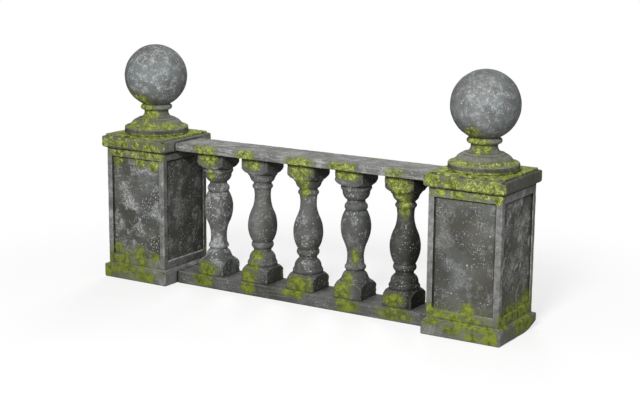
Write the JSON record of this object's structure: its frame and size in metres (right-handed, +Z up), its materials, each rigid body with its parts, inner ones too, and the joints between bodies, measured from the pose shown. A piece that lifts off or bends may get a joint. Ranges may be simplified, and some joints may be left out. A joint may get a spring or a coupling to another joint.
{
  "type": "garden balustrade wall",
  "caption": "Free-standing garden wall section in moulded glass-fibre with an aged-stone and moss finish: panelled piers with ball finials beside turned balusters between two rails.",
  "frame": {"origin": "on the ground, midway between the two piers and midway through their depth", "axes": "+Z up, +X along the wall to the right pier, and the front faces -Y"},
  "size_m": [1.864, 0.332, 0.9934],
  "materials": {
    "pier_stone": "matt painted glass-fibre laminate, mottled grey aged-stone effect with pale dry-brushed edges",
    "cap_stone": "matt painted glass-fibre laminate, grey aged-stone effect with yellow-green moss flock on its edges",
    "ball_stone": "matt painted glass-fibre laminate, paler cloudy grey with whitish lichen specks",
    "rail_stone": "matt painted glass-fibre laminate, dark grey aged-stone effect with worn pale arrises",
    "baluster_stone": "matt painted glass-fibre laminate, dark grey aged-stone effect with fine pale specks and moss patches"
  },
  "bodies": {
    "root": {"left_plinth": "pier_stone", "left_front_panel": "pier_stone", "left_back_panel": "pier_stone", "left_outer_panel": "pier_stone", "left_inner_panel": "pier_stone", "left_cap": "cap_stone", "left_finial_foot": "ball_stone", "left_ball": "ball_stone", "right_plinth": "pier_stone", "right_front_panel": "pier_stone", "right_back_panel": "pier_stone", "right_outer_panel": "pier_stone", "right_inner_panel": "pier_stone", "right_cap": "cap_stone", "right_finial_foot": "ball_stone", "right_ball": "ball_stone", "base_rail": "rail_stone", "top_rail": "rail_stone", "baluster_1": "baluster_stone", "baluster_2": "baluster_stone", "baluster_3": "baluster_stone", "baluster_4": "baluster_stone", "baluster_5": "baluster_stone"}
  },
  "joints": []
}
